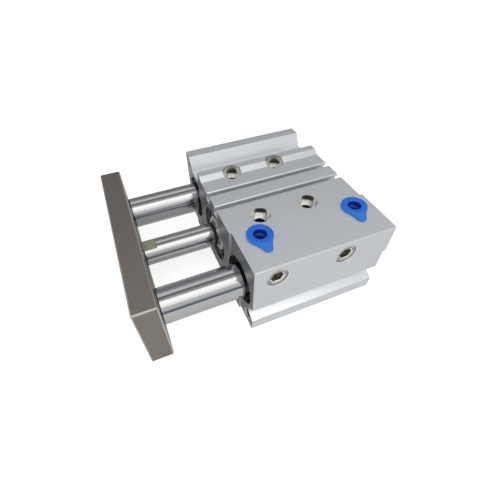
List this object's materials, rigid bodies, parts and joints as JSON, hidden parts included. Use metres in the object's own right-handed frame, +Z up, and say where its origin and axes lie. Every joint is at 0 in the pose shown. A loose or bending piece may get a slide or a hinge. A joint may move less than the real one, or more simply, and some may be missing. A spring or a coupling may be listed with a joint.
{
  "type": "guided pneumatic cylinder",
  "caption": "Compact air cylinder in an extruded body, with a piston rod between parallel guide rods that push a flat tooling plate.",
  "frame": {"origin": "centre of the four mounting bolt holes, on the bottom mounting face of the body", "axes": "+X along the stroke, towards the tooling plate; +Y towards the side face with the plugged side ports; +Z up, from the mounting face to the face with the ports"},
  "size_m": [0.1135, 0.093, 0.0439],
  "materials": {
    "anodised_aluminium": "matte clear anodised extrusion",
    "cover_aluminium": "turned and anodised",
    "seal_rubber": "black nitrile rubber",
    "bumper_polyurethane": "amber polyurethane",
    "spring_steel": "phosphated spring steel",
    "bearing_bronze": "bearing bronze",
    "wiper_felt": "oiled felt",
    "pressed_steel": "pressed steel",
    "plated_plug": "nickel plated",
    "ball_steel": "polished steel",
    "blue_plastic": "moulded polyethylene",
    "plated_plate": "satin nickel plated steel",
    "ground_rod": "ground hard-chromed steel",
    "chromed_rod": "hard-chromed steel",
    "magnet": "plastic-bonded magnet",
    "screw_steel": "zinc-nickel plated screw"
  },
  "bodies": {
    "cylinder": {"cylinder_body": "anodised_aluminium", "rod_cover": "cover_aluminium", "head_cover": "cover_aluminium", "rod_seal": "seal_rubber", "rod_cover_gasket": "seal_rubber", "head_cover_gasket": "seal_rubber", "front_retaining_ring": "spring_steel", "rear_retaining_ring": "spring_steel", "guide_retaining_ring_left": "spring_steel", "guide_retaining_ring_right": "spring_steel", "guide_bush_front_left": "bearing_bronze", "guide_bush_front_right": "bearing_bronze", "guide_bush_rear_left": "bearing_bronze", "guide_bush_rear_right": "bearing_bronze", "felt_ring_left": "wiper_felt", "felt_ring_right": "wiper_felt", "felt_holder_left": "pressed_steel", "felt_holder_right": "pressed_steel", "side_port_plug_front": "plated_plug", "side_port_plug_rear": "plated_plug", "passage_ball": "ball_steel"},
    "carriage": {"tooling_plate": "plated_plate", "guide_rod_left": "ground_rod", "guide_rod_right": "ground_rod", "piston_rod": "chromed_rod", "piston": "cover_aluminium", "piston_seal": "seal_rubber", "piston_magnet": "magnet", "front_bumper": "bumper_polyurethane", "rear_bumper": "bumper_polyurethane", "guide_rod_screw_left": "screw_steel", "guide_rod_screw_right": "screw_steel", "piston_rod_screw": "screw_steel"},
    "front_cap": {"port_cap_front": "blue_plastic"},
    "rear_cap": {"port_cap_rear": "blue_plastic"}
  },
  "joints": [
    {"name": "stroke", "type": "slide", "parent": "cylinder", "child": "carriage", "axis": [1, 0, 0], "range_m": [-0.03, 0]},
    {"name": "front_cap_pull", "type": "slide", "parent": "cylinder", "child": "front_cap", "axis": [0, 0, 1], "range_m": [0, 0.012]},
    {"name": "rear_cap_pull", "type": "slide", "parent": "cylinder", "child": "rear_cap", "axis": [0, 0, 1], "range_m": [0, 0.012]}
  ]
}
